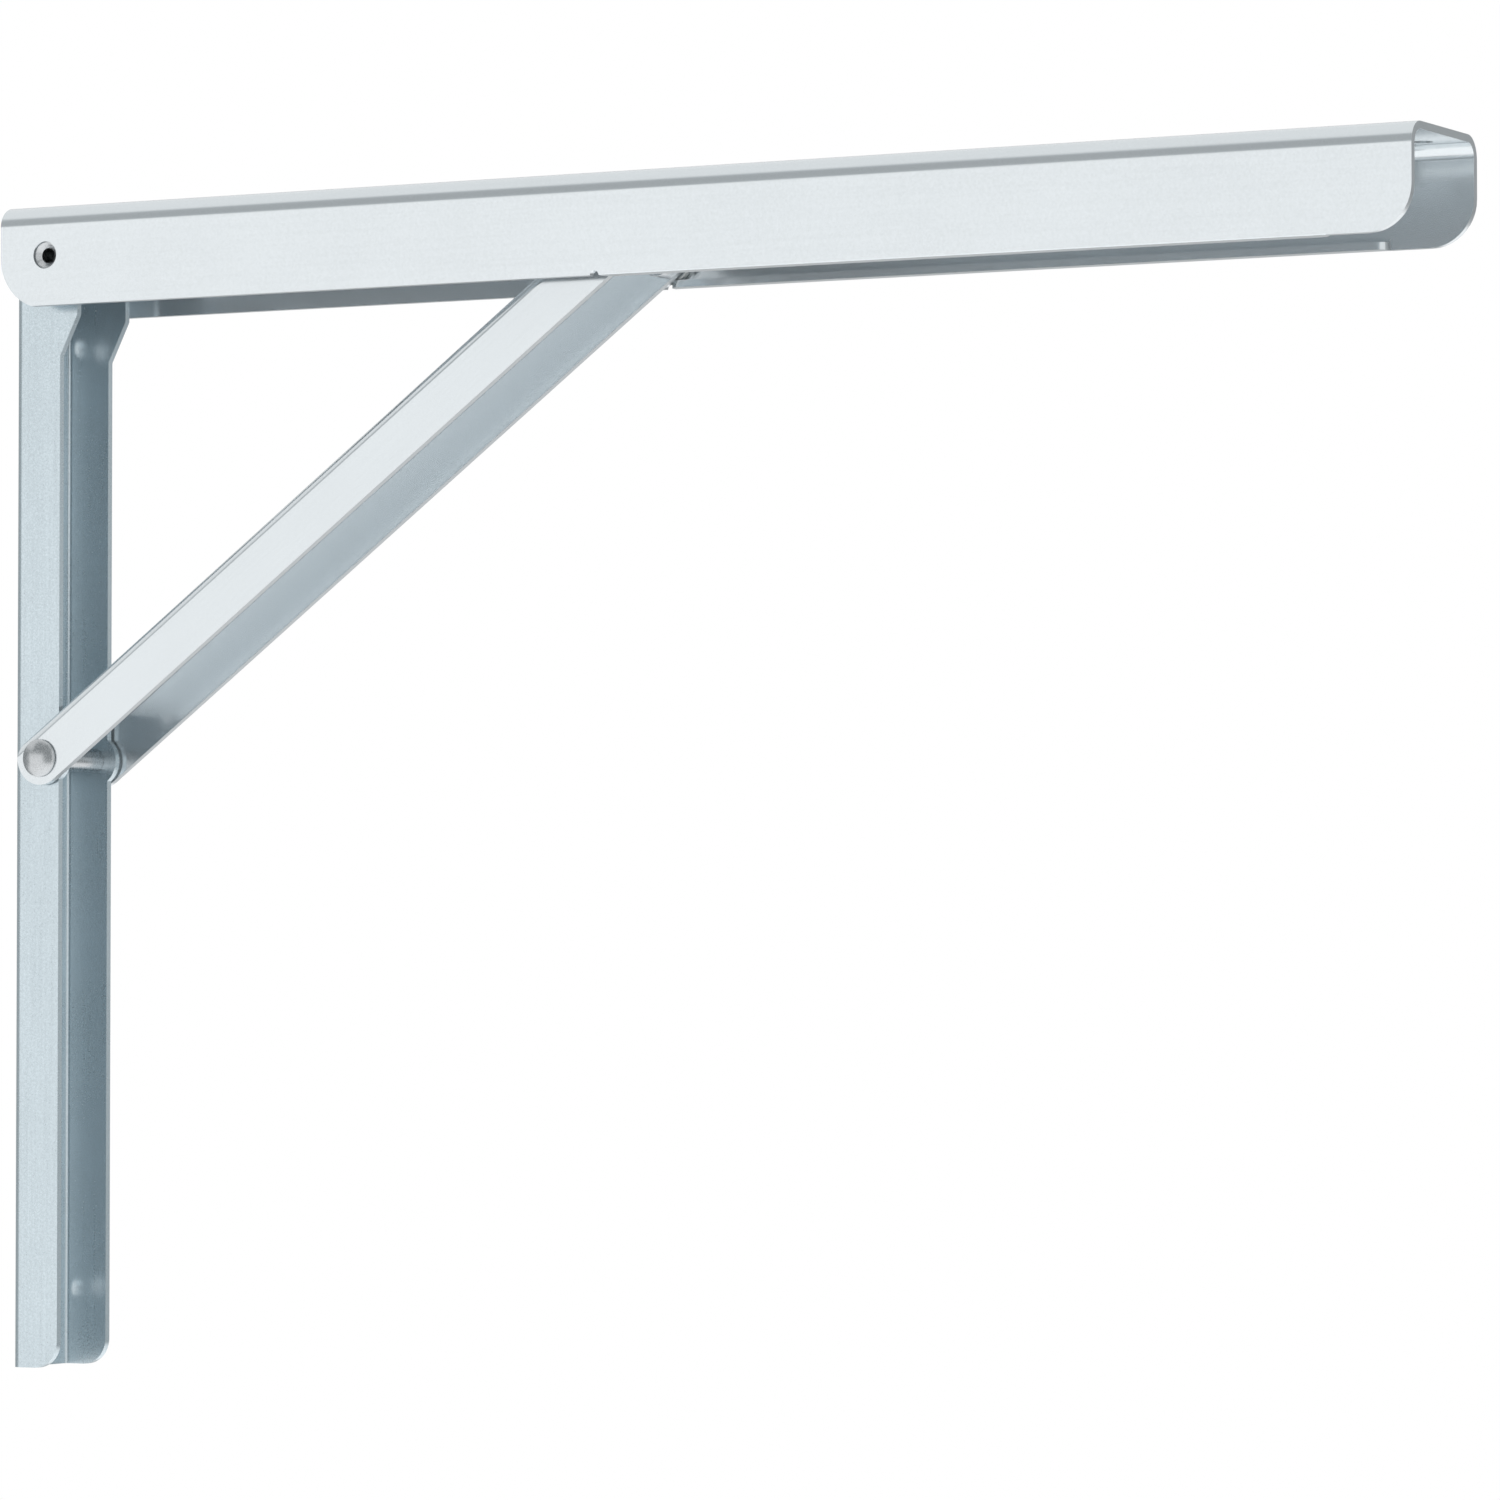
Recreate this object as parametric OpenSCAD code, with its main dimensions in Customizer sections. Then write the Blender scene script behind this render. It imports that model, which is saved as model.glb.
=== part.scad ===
// Folding shelf bracket: a wall rail, a lipped channel arm that swings down,
// and a channel strut that closes over the rail. The strut's upper end runs
// along the inside of the arm on a sheet carriage.
// Millimetres. The wall is the plane x = 0, the arm points along +x, z is up,
// and the origin is level with the arm's pivot. The bracket is drawn raised.

/* [Sheet steel] */
// Thickness of the sheet in the arm, the rail and the strut
sheet_t = 2.5; // [2:0.1:3]
// Inside radius of the long bends in the arm
arm_bend_r = 5; // [4:0.5:5]
// Inside radius of the long bends in the rail and the strut
rail_bend_r = 1.5; // [1:0.5:2]

/* [Wall rail] */
// Width over the two flanges
rail_w = 33; // [32:0.5:33]
// Depth from the wall to the front of the ears at the arm's pivot
rail_depth = 26; // [25.5:0.5:27]
// Depth from the wall to the front edges below those ears
rail_low_depth = 19; // [17:0.5:19.5]
// Height above the arm's pivot
rail_rise = 12.5; // [9:0.5:12.5]
// Length below the arm's pivot
rail_drop = 384; // [370:1:430]
// Diameter of the wall screw holes
wall_hole_d = 6.5; // [5:0.5:8]
// Distance between the two holes of a pair
wall_hole_gap_y = 14; // [11:1:14]
// Distance between the upper and the lower pair
wall_hole_gap_z = 330; // [240:5:330]

/* [Arm] */
// Width over the two flanges
arm_w = 54; // [54:0.5:60]
// Height of the arm
arm_h = 35; // [35:0.5:36]
// Reach from the pivot to the tip
arm_reach = 509; // [500:1:560]
// Length behind the pivot
arm_rear = 18.3; // [17:0.1:18.5]
// Distance from the wall to the arm's pivot
arm_pivot_x = 19.5; // [19.5:0.1:20.5]
// Clear gap between the two turned-in lips
lip_gap = 42; // [42:0.2:43]
// Start of the lips, from the pivot
lip_start = 219; // [217:1:240]
// End of the lips, from the pivot
lip_end = 480; // [462:1:490]
// Radius of the tip's lower corners
tip_corner_r = 15; // [8:1:18]

/* [Strut] */
// Width over the two flanges
strut_w = 40; // [39.6:0.1:40]
// Depth of the strut's channel
strut_h = 18.5; // [18:0.5:18.5]
// Distance from the wall to the strut's pivot
strut_pivot_x = 13.5; // [13.5:0.1:14.5]
// Distance of the strut's pivot below the arm's pivot
strut_pivot_drop = 173.5; // [171:0.5:175]
// Angle of the strut above level when the arm is raised
strut_angle = 36.7; // [36:0.1:37.5]

/* [Carriage] */
// Distance of the carriage pin below the arm's centre line
carriage_pin_drop = 8; // [7:0.5:9]
// Thickness of the carriage's sheet
carriage_t = 1.6; // [1.5:0.1:1.6]
// Width of the tongue that points to the tip
tongue_w = 17.6; // [14:0.2:18]

/* [Pivots] */
// Diameter of the arm's pivot pin
arm_pin_d = 9.3; // [8:0.1:10]
// Diameter of the strut's two pins
strut_pin_d = 8; // [7:0.1:8.5]
// Radial clearance between a pin and its hole
pin_fit = 0.05; // [0.02:0.01:0.1]

/* [Hidden] */
$fn = 64;
eps = 0.01;
over = 1;
near = -1;
far = 1;

zinc = [0.74, 0.79, 0.82];
zinc_light = [0.82, 0.86, 0.88];
rivet_steel = [0.60, 0.64, 0.66];
glide_nylon = [0.86, 0.87, 0.85];

// Faces of the arm, from its centre line and its middle plane
arm_top = arm_h / 2;
web_under = arm_top - sheet_t;
lip_top = -arm_top + sheet_t;
arm_inner_y = arm_w / 2 - sheet_t;

// The strut's line: its pivot, its upper pin and the carriage's travel.
// Folded, the strut stands parallel to the wall, which sets the pin's offset.
strut_pivot_z = -strut_pivot_drop;
pin_offset = strut_pivot_x - arm_pivot_x + carriage_pin_drop;
strut_length = (strut_pivot_drop - carriage_pin_drop + pin_offset * cos(strut_angle)) / sin(strut_angle);
carriage_x = strut_pivot_x + strut_length * cos(strut_angle) + pin_offset * sin(strut_angle);
carriage_folded = strut_pivot_drop + strut_length;
strut_end_r = 6;
strut_past_pin = 9;
strut_end = strut_length + strut_past_pin;
strut_web_start = 18;
strut_web_gap = 6;
strut_inner_y = strut_w / 2 - sheet_t;

// The rail: its ears at the two pivots, its corners and its screws
arm_ear_end = 20;
strut_ear_r = 9;
rail_top_corner_r = 6;
rail_foot_corner_r = 9;
wall_hole_drop = 28;

// Places along the arm, from its pivot
first_hole = 41.2;
first_hole_y = 9.2;
second_hole = 130.8;
second_hole_y = -7.6;
tip_hole_near = 489;
tip_hole_far = 496.3;
tip_hole_y = 12.7;
shelf_hole_d = 6.6;
slot_at = 157.3;
slot_length = 7;
slot_w = 3.6;
rivet_at = 198.5;
rivet_head_d = 11;
rivet_shank_d = 5;
rivet_fit = 0.1;
countersink_foot_d = 6;
window_start = 457;
window_w = 26;
window_corner_r = 5;
tab_clearance = 0.5;
tab_bend_r = 1.5;
tab_depth = 7;
notch_w = 4;
notch_past_bend = 1.5;

// The carriage, from its pin along the arm
carriage_rear = -9.4;
bridge_front = 3;
cheek_front = 6;
tongue_front = 20.5;
tongue_hole_at = 8;
tongue_hole_d = 6;
carriage_w = 44;
carriage_bend_r = 1;
carriage_top_gap = 0.4;
carriage_foot_gap = 0.3;
carriage_top = web_under - carriage_top_gap;
carriage_foot = lip_top + carriage_foot_gap;
glide_clearance = 0.3;
glide_top = 10;
glide_rivet_d = 4;
glide_rivets = [[-5.4, 4], [2, 4]];

// The tab's face stops the tongue when the bracket is folded
tab_face = carriage_folded + tongue_front + tab_clearance;
tab_bend_outer = tab_bend_r + sheet_t;
notch_end = tab_face + tab_bend_outer + notch_past_bend;

// The stop plate's nose stands just behind the raised carriage
stop_plate_w = 16;
stop_plate_t = 2;
stop_plate_start = 150;
stop_nose_depth = 7;
stop_gap = 0.5;
stop_front = carriage_x - arm_pivot_x + carriage_rear - stop_gap;

arm_bush_d = 16;
arm_bush_gap = 0.2;
washer_d = 16;
washer_gap = 0.2;
carriage_bush_d = 13;
carriage_bush_length = 6;
pin_head_d = 13;
pin_head_h = 2.6;
pin_head_gap = 0.2;

// A bent channel section, open at y = 0 with its web on top
module rounded_top(w, h, r) {
    translate([-w / 2, 0]) square([w, h - r]);
    translate([-w / 2 + r, 0]) square([w - 2 * r, h]);
    for (s = [-1, 1])
        translate([s * (w / 2 - r), h - r]) circle(r);
}

module channel_section(w, h, t, r) {
    difference() {
        rounded_top(w, h, r + t);
        translate([0, -eps]) rounded_top(w - 2 * t, h - t + eps, r);
    }
}

// The same section with two lips turned in along its open side, sharply bent
module lipped_section(w, h, t, r, gap, edge_r) {
    lip_w = (w - gap) / 2;
    difference() {
        union() {
            channel_section(w, h, t, r);
            translate([-w / 2, 0]) square([lip_w, t]);
            translate([gap / 2, 0]) square([lip_w, t]);
        }
        translate([-w / 2, 0]) corner_cut(edge_r);
        translate([w / 2, 0]) rotate(90) corner_cut(edge_r);
    }
}

// Extrudes a section along x, its own y pointing up
module along_x(from, to) {
    translate([from, 0, 0]) rotate([90, 0, 90]) linear_extrude(to - from) children();
}

// Extrudes a shape drawn in x and z across the bracket
module across_y(half_w) {
    translate([0, half_w, 0]) rotate([90, 0, 0]) linear_extrude(2 * half_w) children();
}

// What is cut off a square corner to round it; the corner is at the origin
module corner_cut(r) {
    difference() {
        translate([-over, -over]) square(r + over);
        translate([r, r]) circle(r);
    }
}

module pin_y(d, from, to) {
    translate([0, from, 0]) rotate([-90, 0, 0]) cylinder(h = to - from, d = d);
}

// A sleeve or washer on a pin, on one side of the bracket
module ring_y(d, hole_d, from, to, side) {
    difference() {
        pin_y(d, side > 0 ? from : -to, side > 0 ? to : -from);
        pin_y(hole_d, -arm_w, arm_w);
    }
}

module at_arm_pivot() {
    translate([arm_pivot_x, 0, 0]) children();
}

module at_strut_pivot() {
    translate([strut_pivot_x, 0, strut_pivot_z]) children();
}

// The strut's own frame: x runs up the strut, z points to its web
module in_strut_frame() {
    at_strut_pivot() rotate([0, -strut_angle, 0]) children();
}

module at_carriage_pin() {
    translate([carriage_x, 0, -carriage_pin_drop]) children();
}

// The carriage's own frame: its origin is on the arm's centre line above the pin
module in_carriage_frame() {
    translate([carriage_x, 0, 0]) children();
}

module rail_body() {
    translate([0, 0, -rail_drop])
        linear_extrude(rail_drop + rail_rise)
            translate([rail_depth, 0]) rotate(90)
                channel_section(rail_w, rail_depth, sheet_t, rail_bend_r);
}

// The flanges step back below the arm's pivot, all but a round ear at the strut's
module rail_front_cut() {
    step = rail_depth - rail_low_depth;
    across_y(rail_w)
        difference() {
            polygon([
                [rail_low_depth, -rail_drop - over],
                [rail_depth + over, -rail_drop - over],
                [rail_depth + over, -arm_ear_end],
                [rail_depth, -arm_ear_end],
                [rail_low_depth, -arm_ear_end - 2 * step]
            ]);
            translate([strut_pivot_x, strut_pivot_z]) circle(strut_ear_r);
        }
}

module rail_corner_cuts() {
    across_y(rail_w) {
        translate([rail_depth, rail_rise]) rotate(180) corner_cut(rail_top_corner_r);
        translate([rail_low_depth, -rail_drop]) rotate(90) corner_cut(rail_foot_corner_r);
    }
}

module wall_holes() {
    for (y = [-1, 1], drop = [wall_hole_drop, wall_hole_drop + wall_hole_gap_z])
        translate([-over, y * wall_hole_gap_y / 2, -drop])
            rotate([0, 90, 0]) cylinder(h = sheet_t + 2 * over, d = wall_hole_d);
}

module wall_rail() {
    color(zinc)
        difference() {
            rail_body();
            rail_front_cut();
            rail_corner_cuts();
            wall_holes();
            at_arm_pivot() pin_y(arm_pin_d + 2 * pin_fit, -rail_w, rail_w);
            at_strut_pivot() pin_y(strut_pin_d + 2 * pin_fit, -rail_w, rail_w);
        }
}

module arm_channel() {
    lip_edge_r = 0.5;
    translate([0, 0, -arm_top]) {
        along_x(-arm_rear, lip_start) channel_section(arm_w, arm_h, sheet_t, arm_bend_r);
        along_x(lip_start, lip_end)
            lipped_section(arm_w, arm_h, sheet_t, arm_bend_r, lip_gap, lip_edge_r);
        along_x(lip_end, arm_reach) channel_section(arm_w, arm_h, sheet_t, arm_bend_r);
    }
}

// The rear end is round about the pivot, so that it clears the wall
module arm_rear_cut() {
    across_y(arm_w)
        difference() {
            translate([-arm_rear - over, -arm_h]) square([arm_rear + over, arm_h]);
            circle(arm_rear);
        }
}

module arm_tip_cut() {
    across_y(arm_w)
        translate([arm_reach, -arm_top]) rotate(90) corner_cut(tip_corner_r);
}

// A small round relief where each lip begins, and the lips' round corners
module lip_end_cuts() {
    relief_r = 1.6;
    lip_corner_r = 4;
    translate([lip_start - relief_r, 0, -arm_top]) pin_y(2 * relief_r, -arm_w, arm_w);
    for (side = [near, far]) {
        translate([lip_start, side * lip_gap / 2, -arm_top - over])
            linear_extrude(sheet_t + 2 * over) scale_y(side) corner_cut(lip_corner_r);
        translate([lip_end, side * lip_gap / 2, -arm_top - over])
            linear_extrude(sheet_t + 2 * over) scale_y(side) mirror([1, 0]) corner_cut(lip_corner_r);
    }
}

module scale_y(side) {
    if (side > 0) children();
    else mirror([0, 1]) children();
}

module arm_web_hole(x, y, d) {
    translate([x, y, web_under - over]) cylinder(h = sheet_t + 2 * over, d = d);
}

module arm_web_slot() {
    translate([slot_at, 0, web_under - over])
        linear_extrude(sheet_t + 2 * over) {
            square([slot_length - slot_w, slot_w], center = true);
            for (s = [-1, 1])
                translate([s * (slot_length - slot_w) / 2, 0]) circle(d = slot_w);
        }
}

module rivet_countersink(extra) {
    translate([rivet_at, 0, web_under])
        cylinder(h = sheet_t + extra, d1 = countersink_foot_d, d2 = rivet_head_d + extra);
}

// The window's outline: round inner corners, and a relief notch at each side of the tab
module window_outline() {
    half = window_w / 2;
    translate([window_start + window_corner_r, -half])
        square([tab_face + tab_bend_outer - window_start - window_corner_r, window_w]);
    translate([window_start, -half + window_corner_r])
        square([window_corner_r + over, window_w - 2 * window_corner_r]);
    for (s = [-1, 1]) {
        translate([window_start + window_corner_r, s * (half - window_corner_r)])
            circle(window_corner_r);
        translate([notch_end - notch_w / 2, s * (half - notch_w / 2)]) circle(d = notch_w);
        translate([tab_face, s * (half - notch_w / 2) - notch_w / 2])
            square([notch_end - notch_w / 2 - tab_face, notch_w]);
    }
}

// The tab is lanced from the window and bent down, and stops the carriage
module window_tab() {
    tab_half = window_w / 2 - notch_w;
    bend_z = arm_top - tab_bend_outer;
    across_y(tab_half) {
        translate([tab_face, web_under - tab_depth])
            square([sheet_t, bend_z - web_under + tab_depth]);
        intersection() {
            translate([tab_face + tab_bend_outer, bend_z])
                difference() {
                    circle(tab_bend_outer);
                    circle(tab_bend_r);
                }
            translate([tab_face, bend_z]) square(tab_bend_outer);
        }
    }
}

module support_arm() {
    color(zinc_light)
        at_arm_pivot() {
            difference() {
                arm_channel();
                arm_rear_cut();
                arm_tip_cut();
                lip_end_cuts();
                pin_y(arm_pin_d + 2 * pin_fit, -arm_w, arm_w);
                arm_web_hole(first_hole, first_hole_y, shelf_hole_d);
                arm_web_hole(second_hole, second_hole_y, shelf_hole_d);
                arm_web_hole(tip_hole_near, -tip_hole_y, shelf_hole_d);
                arm_web_hole(tip_hole_far, tip_hole_y, shelf_hole_d);
                arm_web_slot();
                rivet_countersink(eps);
                translate([0, 0, web_under - over]) linear_extrude(sheet_t + 2 * over) window_outline();
            }
            window_tab();
        }
}

module strut_flange_ends() {
    across_y(strut_w) {
        difference() {
            translate([-strut_h, -strut_h]) square([strut_h, 2 * strut_h]);
            circle(strut_h / 2);
        }
        translate([strut_end, -strut_h / 2]) rotate(90) corner_cut(strut_end_r);
        translate([strut_end, strut_h / 2]) rotate(180) corner_cut(strut_end_r);
    }
}

// The web stops short of both ends, which leaves two ears round each pin
module strut_web_cuts() {
    web_end = strut_length - strut_web_gap;
    depth = rail_bend_r + sheet_t;
    for (span = [[-strut_h, strut_web_start], [web_end, strut_end + over]])
        translate([span[0], -strut_inner_y, strut_h / 2 - depth])
            cube([span[1] - span[0], 2 * strut_inner_y, depth + over]);
}

module strut() {
    color(zinc_light)
        in_strut_frame()
            difference() {
                translate([0, 0, -strut_h / 2])
                    along_x(-strut_h / 2, strut_end)
                        channel_section(strut_w, strut_h, sheet_t, rail_bend_r);
                strut_flange_ends();
                strut_web_cuts();
                pin_y(strut_pin_d + 2 * pin_fit, -strut_w, strut_w);
                translate([strut_length, 0, -pin_offset])
                    pin_y(strut_pin_d + 2 * pin_fit, -strut_w, strut_w);
            }
}

// Tubular pin with flared ends, which stop just inside the arm's holes
module arm_pivot_pin() {
    end_gap = 0.8;
    half = arm_w / 2 - end_gap;
    bore_d = 5;
    flare_depth = 1.4;
    rim_w = 0.4;
    color(rivet_steel)
        at_arm_pivot()
            difference() {
                pin_y(arm_pin_d, -half, half);
                pin_y(bore_d, -half - over, half + over);
                for (side = [near, far])
                    rotate([side * -90, 0, 0])
                        translate([0, 0, half - flare_depth])
                            cylinder(h = flare_depth + eps, d1 = bore_d, d2 = arm_pin_d - 2 * rim_w);
            }
}

module arm_pivot_bush(side) {
    color(zinc)
        at_arm_pivot()
            ring_y(arm_bush_d, arm_pin_d + 2 * pin_fit, rail_w / 2, arm_inner_y - arm_bush_gap, side);
}

module arm_pivot_bush_near() {
    arm_pivot_bush(near);
}

module arm_pivot_bush_far() {
    arm_pivot_bush(far);
}

module rivet_head(side, from) {
    dome_r = 12;
    rim_h = 0.6;
    rim_step = 0.1;
    rotate([side * -90, 0, 0])
        translate([0, 0, from]) {
            cylinder(h = rim_h, d = pin_head_d);
            intersection() {
                translate([0, 0, pin_head_h - dome_r]) sphere(dome_r);
                cylinder(h = pin_head_h, d = pin_head_d - 2 * rim_step);
            }
        }
}

module strut_pivot_pin() {
    half = strut_w / 2 + pin_head_gap;
    color(rivet_steel)
        at_strut_pivot() {
            pin_y(strut_pin_d, -half - eps, half + eps);
            rivet_head(near, half);
            rivet_head(far, half);
        }
}

// Thin washers that keep the strut's flanges off the rail's
module strut_pivot_washer(side) {
    color(zinc)
        at_strut_pivot()
            ring_y(washer_d, strut_pin_d + 2 * pin_fit, rail_w / 2, strut_inner_y - washer_gap, side);
}

module strut_pivot_washer_near() {
    strut_pivot_washer(near);
}

module strut_pivot_washer_far() {
    strut_pivot_washer(far);
}

module tongue_outline() {
    corner_r = 2.5;
    half = tongue_w / 2;
    translate([bridge_front - over, -half])
        square([tongue_front - bridge_front + over - corner_r, tongue_w]);
    translate([bridge_front, -half + corner_r])
        square([tongue_front - bridge_front, tongue_w - 2 * corner_r]);
    for (s = [-1, 1])
        translate([tongue_front - corner_r, s * (half - corner_r)]) circle(corner_r);
}

module cheek_foot_cuts() {
    foot_r = 4;
    across_y(carriage_w) {
        translate([carriage_rear, carriage_foot]) corner_cut(foot_r);
        translate([cheek_front, carriage_foot]) rotate(90) corner_cut(foot_r);
        translate([cheek_front, carriage_top]) rotate(180) corner_cut(foot_r);
    }
}

// A folded sheet: two cheeks under a bridge, and a tongue that runs on to the tip side
module carriage() {
    height = carriage_top - carriage_foot;
    bend_outer = carriage_t + carriage_bend_r;
    bridge_w = carriage_w - 2 * bend_outer;
    color(zinc)
        in_carriage_frame() {
            difference() {
                translate([0, 0, carriage_foot])
                    along_x(carriage_rear, cheek_front)
                        channel_section(carriage_w, height, carriage_t, carriage_bend_r);
                cheek_foot_cuts();
                translate([bridge_front, -bridge_w / 2, carriage_top - bend_outer])
                    cube([cheek_front, bridge_w, bend_outer + over]);
                translate([0, 0, -carriage_pin_drop])
                    pin_y(strut_pin_d + 2 * pin_fit, -carriage_w, carriage_w);
                for (p = glide_rivets)
                    translate([p[0], 0, p[1]])
                        pin_y(glide_rivet_d + rivet_fit, -carriage_w, carriage_w);
            }
            difference() {
                translate([0, 0, carriage_top - carriage_t])
                    linear_extrude(carriage_t) tongue_outline();
                translate([tongue_hole_at, 0, carriage_top - carriage_t - over])
                    cylinder(h = carriage_t + 2 * over, d = tongue_hole_d);
            }
        }
}

module glide_outline() {
    r = 3;
    length = cheek_front - carriage_rear;
    height = glide_top - carriage_foot;
    difference() {
        translate([carriage_rear, carriage_foot]) square([length, height]);
        translate([carriage_rear, carriage_foot]) corner_cut(r);
        translate([cheek_front, carriage_foot]) rotate(90) corner_cut(r);
        translate([cheek_front, glide_top]) rotate(180) corner_cut(r);
        translate([carriage_rear, glide_top]) rotate(270) corner_cut(r);
        for (p = glide_rivets)
            translate(p) circle(d = glide_rivet_d + rivet_fit);
    }
}

module carriage_glide(side) {
    inner = carriage_w / 2;
    outer = arm_inner_y - glide_clearance;
    color(glide_nylon)
        in_carriage_frame()
            translate([0, side * (inner + outer) / 2, 0])
                across_y((outer - inner) / 2) glide_outline();
}

module carriage_glide_near() {
    carriage_glide(near);
}

module carriage_glide_far() {
    carriage_glide(far);
}

// Flush rivets that hold a glide on its cheek
module carriage_rivets(side) {
    recess = 0.3;
    inner = carriage_w / 2 - carriage_t;
    outer = arm_inner_y - glide_clearance - recess;
    color(rivet_steel)
        in_carriage_frame()
            for (p = glide_rivets)
                translate([p[0], 0, p[1]])
                    pin_y(glide_rivet_d, side > 0 ? inner : -outer, side > 0 ? outer : -inner);
}

module carriage_rivets_near() {
    carriage_rivets(near);
}

module carriage_rivets_far() {
    carriage_rivets(far);
}

module carriage_pin() {
    color(rivet_steel)
        at_carriage_pin() pin_y(strut_pin_d, -strut_w / 2, strut_w / 2);
}

// Sleeves on the carriage pin, inside the strut's flanges
module carriage_bush(side) {
    color(zinc)
        at_carriage_pin()
            ring_y(carriage_bush_d, strut_pin_d + 2 * pin_fit,
                strut_inner_y - carriage_bush_length, strut_inner_y, side);
}

module carriage_bush_near() {
    carriage_bush(near);
}

module carriage_bush_far() {
    carriage_bush(far);
}

// Riveted under the web: a lug in the slot keeps it straight, and its nose stops the carriage
module stop_plate() {
    lug_w = slot_w - 0.4;
    lug_length = slot_length - 1.6;
    lug_h = 1.5;
    half = stop_plate_w / 2;
    color(zinc)
        at_arm_pivot() {
            difference() {
                translate([stop_plate_start, -half, web_under - stop_plate_t])
                    cube([stop_front - stop_plate_start, stop_plate_w, stop_plate_t]);
                translate([rivet_at, 0, web_under - stop_plate_t - over])
                    cylinder(h = stop_plate_t + 2 * over, d = rivet_shank_d + rivet_fit);
            }
            translate([stop_front - stop_plate_t, -half, web_under - stop_nose_depth])
                cube([stop_plate_t, stop_plate_w, stop_nose_depth - eps]);
            translate([slot_at - lug_length / 2, -lug_w / 2, web_under - eps])
                cube([lug_length, lug_w, lug_h]);
        }
}

module stop_plate_rivet() {
    foot_head_d = 9;
    foot_head_h = 1.6;
    foot_top = web_under - stop_plate_t;
    recess = 0.15;
    rim_gap = 0.35;
    color(rivet_steel)
        at_arm_pivot()
            translate([rivet_at, 0, 0]) {
                translate([0, 0, web_under])
                    cylinder(h = sheet_t - recess,
                        d1 = countersink_foot_d - rivet_fit, d2 = rivet_head_d - 2 * rim_gap);
                translate([0, 0, foot_top]) cylinder(h = stop_plate_t, d = rivet_shank_d);
                translate([0, 0, foot_top - foot_head_h]) cylinder(h = foot_head_h, d = foot_head_d);
            }
}

wall_rail();
support_arm();
strut();
arm_pivot_pin();
arm_pivot_bush_near();
arm_pivot_bush_far();
strut_pivot_pin();
strut_pivot_washer_near();
strut_pivot_washer_far();
carriage();
carriage_glide_near();
carriage_glide_far();
carriage_rivets_near();
carriage_rivets_far();
carriage_pin();
carriage_bush_near();
carriage_bush_far();
stop_plate();
stop_plate_rivet();
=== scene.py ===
# Looks of a folding shelf bracket in bright zinc-plated sheet steel, seen from its near side.
import math

import bpy
from mathutils import Matrix, Vector


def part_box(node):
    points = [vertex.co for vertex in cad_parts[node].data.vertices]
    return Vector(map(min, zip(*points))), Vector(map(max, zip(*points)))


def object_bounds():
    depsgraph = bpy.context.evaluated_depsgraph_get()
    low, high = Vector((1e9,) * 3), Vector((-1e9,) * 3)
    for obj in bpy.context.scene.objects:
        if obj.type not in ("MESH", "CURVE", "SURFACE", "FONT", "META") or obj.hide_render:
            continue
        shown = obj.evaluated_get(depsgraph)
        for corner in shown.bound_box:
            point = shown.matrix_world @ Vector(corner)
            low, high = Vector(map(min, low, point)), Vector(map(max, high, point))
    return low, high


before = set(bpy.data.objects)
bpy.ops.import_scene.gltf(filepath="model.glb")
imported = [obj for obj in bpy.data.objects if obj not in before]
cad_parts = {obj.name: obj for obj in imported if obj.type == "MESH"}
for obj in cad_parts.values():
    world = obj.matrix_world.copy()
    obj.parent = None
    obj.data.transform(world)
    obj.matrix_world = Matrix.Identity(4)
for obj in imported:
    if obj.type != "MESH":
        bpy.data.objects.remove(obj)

MM = 0.001
WHITE = (1.0, 1.0, 1.0)

# Camera, read off the photograph's 1500 x 1500 frame
PHOTO_SIZE = 1500
FOCAL_PX = 7019.5
SENSOR_MM = 36.0
AZIMUTH_DEG = 28.0
PITCH_UP_DEG = 2.008
PIVOT_DISTANCE = 2447.6 * MM
PIVOT_PIXEL = (88.0, 262.2)
CLIP_NEAR = 0.1
CLIP_FAR = 50.0

# Colours
ZINC_RAIL = (0.620, 0.705, 0.750)
ZINC_ARM = (0.765, 0.808, 0.832)
ZINC_SMALL = (0.70, 0.74, 0.76)
HEADED_STEEL = (0.58, 0.60, 0.615)
NYLON = (0.78, 0.79, 0.77)

# Slope of each sheet, measured up from X
RAIL_SLOPE_DEG = 90.0
ARM_SLOPE_DEG = 0.0
STRUT_SLOPE_DEG = 36.7

# Zinc plating: how strongly its grain shows on each piece, and how rough it is there
RAIL_GRAIN = 1.0
ARM_GRAIN = 0.30
RAIL_ROUGHNESS = 0.24
ARM_ROUGHNESS = 0.16
SMALL_ROUGHNESS = 0.20
ZINC_METALLIC = 0.8
ZINC_TONE = 0.13
ZINC_ROUGHER = 1.2
ZINC_SMOOTHER = 0.85
ZINC_BUMP = 0.25

# Layers of the zinc's grain, each with its scale and its share of the whole
MOTTLE_SCALE = 1500.0
MOTTLE_ROUGHNESS = 0.62
MOTTLE_SHARE = 0.62
STREAK_SCALE = 900.0
STREAK_STRETCH = (0.02, 1.0, 1.0)
STREAK_SHARE = 0.20
CLOUD_SCALE = 26.0
CLOUD_SHARE = 0.18

# Sheared edges of the sheet, darker and duller than its faces
EDGE_DEPTH = 0.15 * MM
END_FACING = (0.75, 0.90)
CUT_EDGE_SHADE = 0.62
CUT_EDGE_ROUGHNESS = 0.42

# Turned and headed steel
STEEL_SCALE = 1400.0
STEEL_RINGS = (1.0, 6.0, 1.0)
STEEL_TONES = (0.82, 1.15)
STEEL_ROUGHNESS = (0.20, 0.34)
STEEL_BUMP = 0.3

# Nylon
NYLON_SCALE = 2200.0
NYLON_TONES = (0.92, 1.06)
NYLON_ROUGHNESS = (0.42, 0.56)
NYLON_BUMP = 0.5

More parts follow.
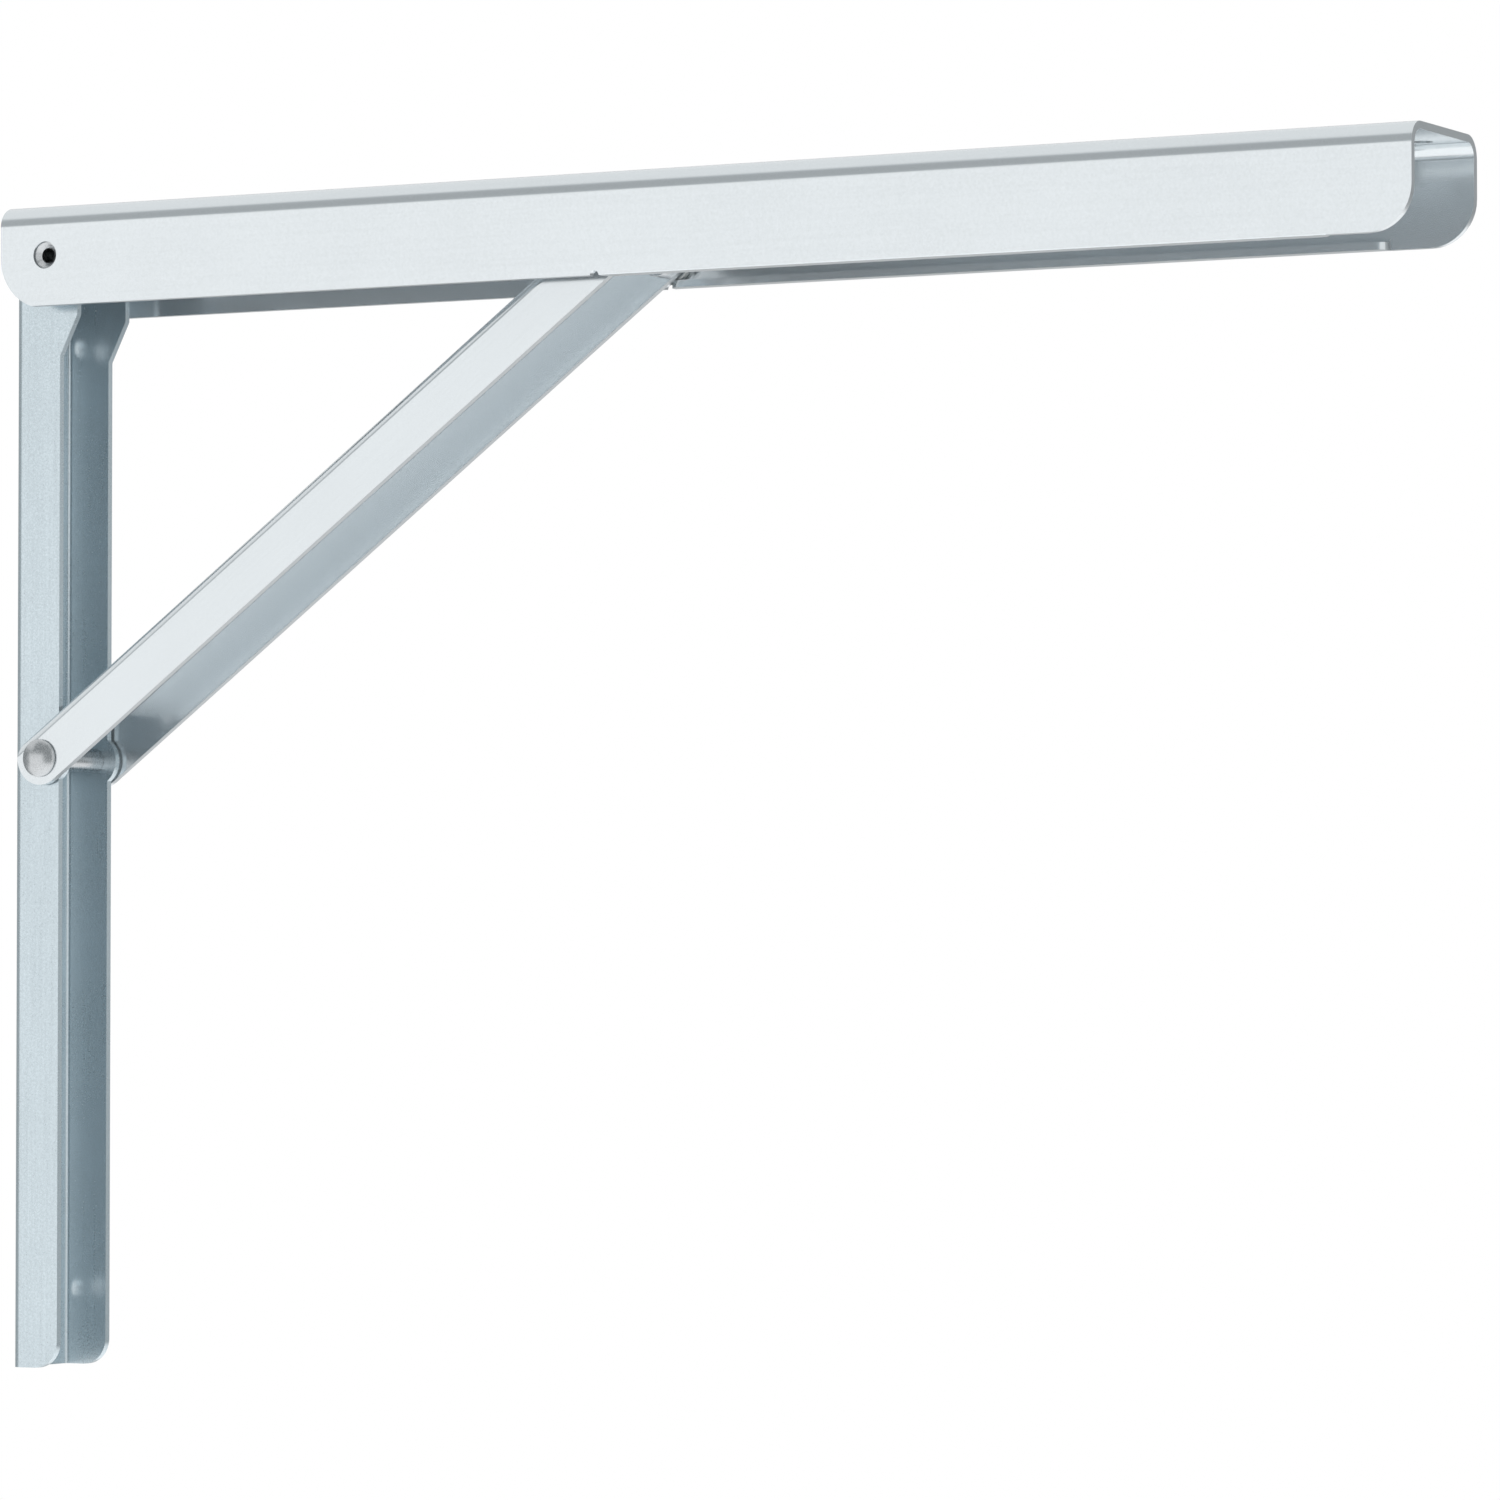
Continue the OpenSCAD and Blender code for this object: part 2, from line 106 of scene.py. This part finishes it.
# Noise: the span that holds most of its values, its levels of detail, and the height of its bumps
GRAIN_SPAN = (0.30, 0.70)
NYLON_SPAN = (0.35, 0.65)
FINE_DETAIL = 3.0
SOFT_DETAIL = 2.0
METAL_BUMP_HEIGHT = 0.02 * MM
NYLON_BUMP_HEIGHT = 0.03 * MM

# Rounding of the edges, done by modifiers
SHEET_EDGE = 0.28 * MM
SMALL_EDGE = 0.15 * MM
EDGE_SEGMENTS = 2
WELD_DISTANCE = 0.002 * MM
DISSOLVE_DEG = 0.6
SHARP_DEG = 32.0
NORMAL_WEIGHT = 60

# Floor
FLOOR_HEIGHT = -1.3
FLOOR_RADIUS = 1.7
FLOOR_STEPS = 96
FLOOR_COLOUR = (0.85, 0.85, 0.85)
FLOOR_GLOW = 0.6

# Light of the studio: grey all round, and faintly blue where it is dim
STUDIO_GREY = 0.40
DIM_TINT = (0.90, 0.965, 0.99)
TINT_SPAN = (0.2, 1.0)

# Soft boxes, as (azimuth from, to, elevation from, to, softness of the edge, strength),
# with angles in degrees and azimuth counted from -Y towards +X
SOFT_BOXES = (
    (-62.0, -4.0, -14.0, 13.0, 3.0, 0.68),
    (-200.0, -50.0, 20.0, 90.0, 5.0, 0.50),
    (-50.0, 200.0, 48.0, 90.0, 6.0, 0.50),
    (-75.0, 75.0, -62.0, -15.0, 5.0, 0.75),
    (28.0, 84.0, -12.0, 40.0, 5.0, 0.50),
    (110.0, 200.0, 0.0, 40.0, 6.0, 0.25),
    (110.0, 200.0, -62.0, -16.0, 5.0, 0.70),
    (-200.0, -110.0, -62.0, -16.0, 5.0, 0.70),
)


# Node helpers

def link(tree, source, target):
    tree.links.new(source, target)


def math_node(tree, operation, *values):
    node = tree.nodes.new("ShaderNodeMath")
    node.operation = operation
    for socket, value in zip(node.inputs, values):
        if isinstance(value, (int, float)):
            socket.default_value = value
        else:
            link(tree, value, socket)
    return node.outputs[0]


def smooth_range(tree, value, low, high, to_low=0.0, to_high=1.0):
    """A smooth step of value: to_low at low and to_high at high."""
    node = tree.nodes.new("ShaderNodeMapRange")
    node.interpolation_type = "SMOOTHSTEP"
    node.inputs["From Min"].default_value = low
    node.inputs["From Max"].default_value = high
    node.inputs["To Min"].default_value = to_low
    node.inputs["To Max"].default_value = to_high
    link(tree, value, node.inputs["Value"])
    return node.outputs[0]


def between(tree, value, low, high, soft):
    """1 between low and high, with soft edges."""
    rise = smooth_range(tree, value, low - soft, low + soft)
    fall = smooth_range(tree, value, high - soft, high + soft, 1.0, 0.0)
    return math_node(tree, "MULTIPLY", rise, fall)


def noise(tree, vector, scale, detail, roughness=0.5):
    node = tree.nodes.new("ShaderNodeTexNoise")
    node.inputs["Scale"].default_value = scale
    node.inputs["Detail"].default_value = detail
    node.inputs["Roughness"].default_value = roughness
    link(tree, vector, node.inputs["Vector"])
    return node.outputs["Fac"]


def ramp(tree, value, span, dark, light):
    """A colour that runs from dark to light as value runs through span."""
    node = tree.nodes.new("ShaderNodeValToRGB")
    first, second = node.color_ramp.elements
    first.position, second.position = span
    first.color = (*dark, 1.0)
    second.color = (*light, 1.0)
    link(tree, value, node.inputs["Fac"])
    return node.outputs["Color"]


def scaled(colour, factor):
    return tuple(min(1.0, channel * factor) for channel in colour)


def toned(tree, grain, span, colour, tones):
    """The colour times the first of tones at the low end of span, and times the second at its high end."""
    darker, lighter = tones
    return ramp(tree, grain, span, scaled(colour, darker), scaled(colour, lighter))


def mixed(tree, share, first, second):
    """first where share is 0 and second where it is 1, for colours."""
    node = tree.nodes.new("ShaderNodeMix")
    node.data_type = "RGBA"
    link(tree, share, node.inputs["Factor"])
    link(tree, first, node.inputs["A"])
    link(tree, second, node.inputs["B"])
    return node.outputs["Result"]


def turned_vector(tree, slope_deg, output="Object"):
    """The object's own coordinates, or its normal, turned about Y so that x runs along the sheet."""
    coordinates = tree.nodes.new("ShaderNodeTexCoord")
    turned = tree.nodes.new("ShaderNodeVectorRotate")
    turned.rotation_type = "Y_AXIS"
    turned.inputs["Angle"].default_value = math.radians(slope_deg)
    link(tree, coordinates.outputs[output], turned.inputs["Vector"])
    return turned.outputs["Vector"]


def object_vector(tree, slope_deg=0.0, stretch=(1.0, 1.0, 1.0)):
    """Turned coordinates, each times its own factor of stretch."""
    mapping = tree.nodes.new("ShaderNodeMapping")
    mapping.inputs["Scale"].default_value = stretch
    link(tree, turned_vector(tree, slope_deg), mapping.inputs["Vector"])
    return mapping.outputs["Vector"]


def parts_of(tree, vector):
    split = tree.nodes.new("ShaderNodeSeparateXYZ")
    link(tree, vector, split.inputs[0])
    return split.outputs


def add_bump(tree, shader, grain, height, strength):
    bump = tree.nodes.new("ShaderNodeBump")
    bump.inputs["Strength"].default_value = strength
    bump.inputs["Distance"].default_value = height
    link(tree, grain, bump.inputs["Height"])
    link(tree, bump.outputs["Normal"], shader.inputs["Normal"])


def new_material(name, metallic):
    material = bpy.data.materials.new(name)
    material.use_nodes = True
    shader = material.node_tree.nodes["Principled BSDF"]
    shader.inputs["Metallic"].default_value = metallic
    return material, material.node_tree, shader


# Materials

def zinc_grain(tree, slope_deg):
    """Fine mottle, faint streaks along the rolled sheet and soft clouds, added up."""
    plain = object_vector(tree, slope_deg)
    rolled = object_vector(tree, slope_deg, STREAK_STRETCH)
    mottle = noise(tree, plain, MOTTLE_SCALE, FINE_DETAIL, MOTTLE_ROUGHNESS)
    streaks = noise(tree, rolled, STREAK_SCALE, SOFT_DETAIL)
    clouds = noise(tree, plain, CLOUD_SCALE, SOFT_DETAIL)
    total = math_node(tree, "MULTIPLY", streaks, STREAK_SHARE)
    total = math_node(tree, "MULTIPLY_ADD", mottle, MOTTLE_SHARE, total)
    return math_node(tree, "MULTIPLY_ADD", clouds, CLOUD_SHARE, total)


def cut_edges(tree, slope_deg, lowest):
    """1 on the sheared edges of the sheet: its ends, and what lies as low as lowest."""
    along = parts_of(tree, turned_vector(tree, slope_deg, "Normal"))[0]
    ends = smooth_range(tree, math_node(tree, "ABSOLUTE", along), *END_FACING)
    if lowest is None:
        return ends
    height = parts_of(tree, turned_vector(tree, slope_deg))[2]
    rims = smooth_range(tree, height, lowest, lowest + EDGE_DEPTH, 1.0, 0.0)
    return math_node(tree, "MAXIMUM", ends, rims)


def zinc(name, colour, slope_deg, strength, roughness, lowest=None):
    """Bright zinc on cold-rolled sheet, its grain as strong as strength says, with dull sheared edges."""
    material, tree, shader = new_material(name, ZINC_METALLIC)
    grain = zinc_grain(tree, slope_deg)
    edges = cut_edges(tree, slope_deg, lowest)
    tones = (1.0 - ZINC_TONE * strength, 1.0 + ZINC_TONE * strength)
    sheet = toned(tree, grain, GRAIN_SPAN, colour, tones)
    sheared = toned(tree, grain, GRAIN_SPAN, scaled(colour, CUT_EDGE_SHADE), tones)
    link(tree, mixed(tree, edges, sheet, sheared), shader.inputs["Base Color"])
    polish = smooth_range(tree, grain, *GRAIN_SPAN, roughness * ZINC_ROUGHER, roughness * ZINC_SMOOTHER)
    dull = math_node(tree, "MULTIPLY", edges, CUT_EDGE_ROUGHNESS)
    link(tree, math_node(tree, "MAXIMUM", polish, dull), shader.inputs["Roughness"])
    add_bump(tree, shader, grain, METAL_BUMP_HEIGHT, ZINC_BUMP * strength)
    return material


def headed_steel(name):
    """Turned and headed steel: fine rings across the pin's axis."""
    material, tree, shader = new_material(name, 1.0)
    rings = noise(tree, object_vector(tree, stretch=STEEL_RINGS), STEEL_SCALE, FINE_DETAIL)
    colour = toned(tree, rings, GRAIN_SPAN, HEADED_STEEL, STEEL_TONES)
    link(tree, colour, shader.inputs["Base Color"])
    link(tree, smooth_range(tree, rings, *GRAIN_SPAN, *STEEL_ROUGHNESS), shader.inputs["Roughness"])
    add_bump(tree, shader, rings, METAL_BUMP_HEIGHT, STEEL_BUMP)
    return material


def nylon(name):
    """Moulded nylon with a fine matt grain."""
    material, tree, shader = new_material(name, 0.0)
    grain = noise(tree, object_vector(tree), NYLON_SCALE, FINE_DETAIL)
    link(tree, toned(tree, grain, NYLON_SPAN, NYLON, NYLON_TONES), shader.inputs["Base Color"])
    link(tree, smooth_range(tree, grain, *GRAIN_SPAN, *NYLON_ROUGHNESS), shader.inputs["Roughness"])
    add_bump(tree, shader, grain, NYLON_BUMP_HEIGHT, NYLON_BUMP)
    return material


# Pieces

def lowest_across(name, slope_deg):
    """The lowest line of a node, measured square to the slope of its sheet."""
    turn = math.radians(slope_deg)
    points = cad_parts[name].data.vertices
    return min(point.co.z * math.cos(turn) - point.co.x * math.sin(turn) for point in points)


def sheet_finishes():
    """The material and the edge width of each piece of sheet."""
    arm_low = lowest_across("support_arm", ARM_SLOPE_DEG)
    strut_low = lowest_across("strut", STRUT_SLOPE_DEG)
    rail = zinc("zinc_on_rail", ZINC_RAIL, RAIL_SLOPE_DEG, RAIL_GRAIN, RAIL_ROUGHNESS)
    arm = zinc("zinc_on_arm", ZINC_ARM, ARM_SLOPE_DEG, ARM_GRAIN, ARM_ROUGHNESS, arm_low)
    strut = zinc("zinc_on_strut", ZINC_ARM, STRUT_SLOPE_DEG, ARM_GRAIN, ARM_ROUGHNESS, strut_low)
    small = zinc("zinc_on_small_parts", ZINC_SMALL, ARM_SLOPE_DEG, ARM_GRAIN, SMALL_ROUGHNESS)
    return {
        "wall_rail": (rail, SHEET_EDGE),
        "support_arm": (arm, SHEET_EDGE),
        "strut": (strut, SHEET_EDGE),
        "carriage": (small, SMALL_EDGE),
        "stop_plate": (small, SMALL_EDGE),
    }


def dress_nodes():
    """Gives every CAD node its material and its slightly rounded edges."""
    finishes = sheet_finishes()
    steel = headed_steel("headed_steel")
    pale_nylon = nylon("natural_nylon")
    for name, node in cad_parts.items():
        small_piece = pale_nylon if "glide" in name else steel
        material, edge = finishes.get(name, (small_piece, SMALL_EDGE))
        for slot in node.material_slots:
            slot.material = material
        round_edges(node, edge)


def round_edges(node, width):
    weld = node.modifiers.new("weld", "WELD")
    weld.merge_threshold = WELD_DISTANCE
    flat = node.modifiers.new("flat_faces", "DECIMATE")
    flat.decimate_type = "DISSOLVE"
    flat.angle_limit = math.radians(DISSOLVE_DEG)
    bevel = node.modifiers.new("edges", "BEVEL")
    bevel.width = width
    bevel.segments = EDGE_SEGMENTS
    bevel.limit_method = "ANGLE"
    bevel.angle_limit = math.radians(SHARP_DEG)
    bevel.use_clamp_overlap = True
    normals = node.modifiers.new("normals", "WEIGHTED_NORMAL")
    normals.weight = NORMAL_WEIGHT


# Studio

def make_camera():
    """The photograph's camera, placed by the pixel at which it shows the arm's pivot."""
    azimuth, pitch = math.radians(AZIMUTH_DEG), math.radians(PITCH_UP_DEG)
    level = Vector((-math.sin(azimuth), math.cos(azimuth), 0.0))
    right = Vector((math.cos(azimuth), math.sin(azimuth), 0.0))
    up = Vector((0.0, 0.0, 1.0))
    forward = level * math.cos(pitch) + up * math.sin(pitch)
    above = up * math.cos(pitch) - level * math.sin(pitch)
    low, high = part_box("arm_pivot_pin")
    pivot = (low + high) / 2
    metres_per_pixel = PIVOT_DISTANCE / FOCAL_PX
    across = (PIVOT_PIXEL[0] - PHOTO_SIZE / 2) * metres_per_pixel
    down = (PIVOT_PIXEL[1] - PHOTO_SIZE / 2) * metres_per_pixel
    data = bpy.data.cameras.new("camera")
    data.sensor_width = SENSOR_MM
    data.lens = FOCAL_PX / PHOTO_SIZE * SENSOR_MM
    data.clip_start = CLIP_NEAR
    data.clip_end = CLIP_FAR
    camera = bpy.data.objects.new("camera", data)
    place = pivot - forward * PIVOT_DISTANCE - right * across + above * down
    turn = Matrix((right, above, -forward)).transposed()
    camera.matrix_world = Matrix.Translation(place) @ turn.to_4x4()
    bpy.context.scene.collection.objects.link(camera)
    bpy.context.scene.camera = camera


def seen_or_reflected(tree):
    """1 for rays that show the background: from the camera, and those that metal or glass sends on."""
    path = tree.nodes.new("ShaderNodeLightPath")
    shown = math_node(tree, "MAXIMUM", path.outputs["Is Camera Ray"], path.outputs["Is Glossy Ray"])
    return math_node(tree, "MAXIMUM", shown, path.outputs["Is Transmission Ray"])


def floor_material():
    """Pale and matt, with a glow that only the background's rays see, so that shadows stay."""
    material = bpy.data.materials.new("white_floor")
    material.use_nodes = True
    tree = material.node_tree
    tree.nodes.clear()
    diffuse = tree.nodes.new("ShaderNodeBsdfDiffuse")
    diffuse.inputs["Color"].default_value = (*FLOOR_COLOUR, 1.0)
    glow = tree.nodes.new("ShaderNodeEmission")
    glow.inputs["Color"].default_value = (*WHITE, 1.0)
    link(tree, math_node(tree, "MULTIPLY", seen_or_reflected(tree), FLOOR_GLOW), glow.inputs["Strength"])
    both = tree.nodes.new("ShaderNodeAddShader")
    link(tree, diffuse.outputs[0], both.inputs[0])
    link(tree, glow.outputs[0], both.inputs[1])
    out = tree.nodes.new("ShaderNodeOutputMaterial")
    link(tree, both.outputs[0], out.inputs["Surface"])
    return material


def make_floor():
    """A round floor, centred under the bracket."""
    low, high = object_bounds()
    centre = (low + high) / 2
    points = []
    for step in range(FLOOR_STEPS):
        angle = 2 * math.pi * step / FLOOR_STEPS
        x = centre.x + FLOOR_RADIUS * math.cos(angle)
        y = centre.y + FLOOR_RADIUS * math.sin(angle)
        points.append((x, y, FLOOR_HEIGHT))
    mesh = bpy.data.meshes.new("floor")
    mesh.from_pydata(points, [], [range(FLOOR_STEPS)])
    mesh.materials.append(floor_material())
    floor = bpy.data.objects.new("floor", mesh)
    bpy.context.scene.collection.objects.link(floor)


def studio_light(tree):
    """The light's strength by direction: grey all round, and brighter in the soft boxes."""
    coordinates = tree.nodes.new("ShaderNodeTexCoord")
    x, y, z = parts_of(tree, coordinates.outputs["Generated"])
    to_degrees = 180 / math.pi
    front = math_node(tree, "MULTIPLY", y, -1.0)
    azimuth = math_node(tree, "MULTIPLY", math_node(tree, "ARCTAN2", x, front), to_degrees)
    elevation = math_node(tree, "MULTIPLY", math_node(tree, "ARCSINE", z), to_degrees)
    total = STUDIO_GREY
    for az_from, az_to, el_from, el_to, soft, strength in SOFT_BOXES:
        across = between(tree, azimuth, az_from, az_to, soft)
        upright = between(tree, elevation, el_from, el_to, soft)
        box = math_node(tree, "MULTIPLY", across, upright)
        total = math_node(tree, "ADD", math_node(tree, "MULTIPLY", box, strength), total)
    return total


def make_world():
    """Studio light on the object, and plain white where the camera sees past it."""
    world = bpy.data.worlds.new("studio")
    bpy.context.scene.world = world
    world.use_nodes = True
    tree = world.node_tree
    tree.nodes.clear()
    strength = studio_light(tree)
    light = tree.nodes.new("ShaderNodeBackground")
    link(tree, ramp(tree, strength, TINT_SPAN, DIM_TINT, WHITE), light.inputs["Color"])
    link(tree, strength, light.inputs["Strength"])
    backdrop = tree.nodes.new("ShaderNodeBackground")
    backdrop.inputs["Color"].default_value = (*WHITE, 1.0)
    path = tree.nodes.new("ShaderNodeLightPath")
    choose = tree.nodes.new("ShaderNodeMixShader")
    link(tree, path.outputs["Is Camera Ray"], choose.inputs["Fac"])
    link(tree, light.outputs[0], choose.inputs[1])
    link(tree, backdrop.outputs[0], choose.inputs[2])
    out = tree.nodes.new("ShaderNodeOutputWorld")
    link(tree, choose.outputs[0], out.inputs["Surface"])


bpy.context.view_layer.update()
bpy.context.scene.view_settings.view_transform = "Standard"
dress_nodes()
make_camera()
make_floor()
make_world()
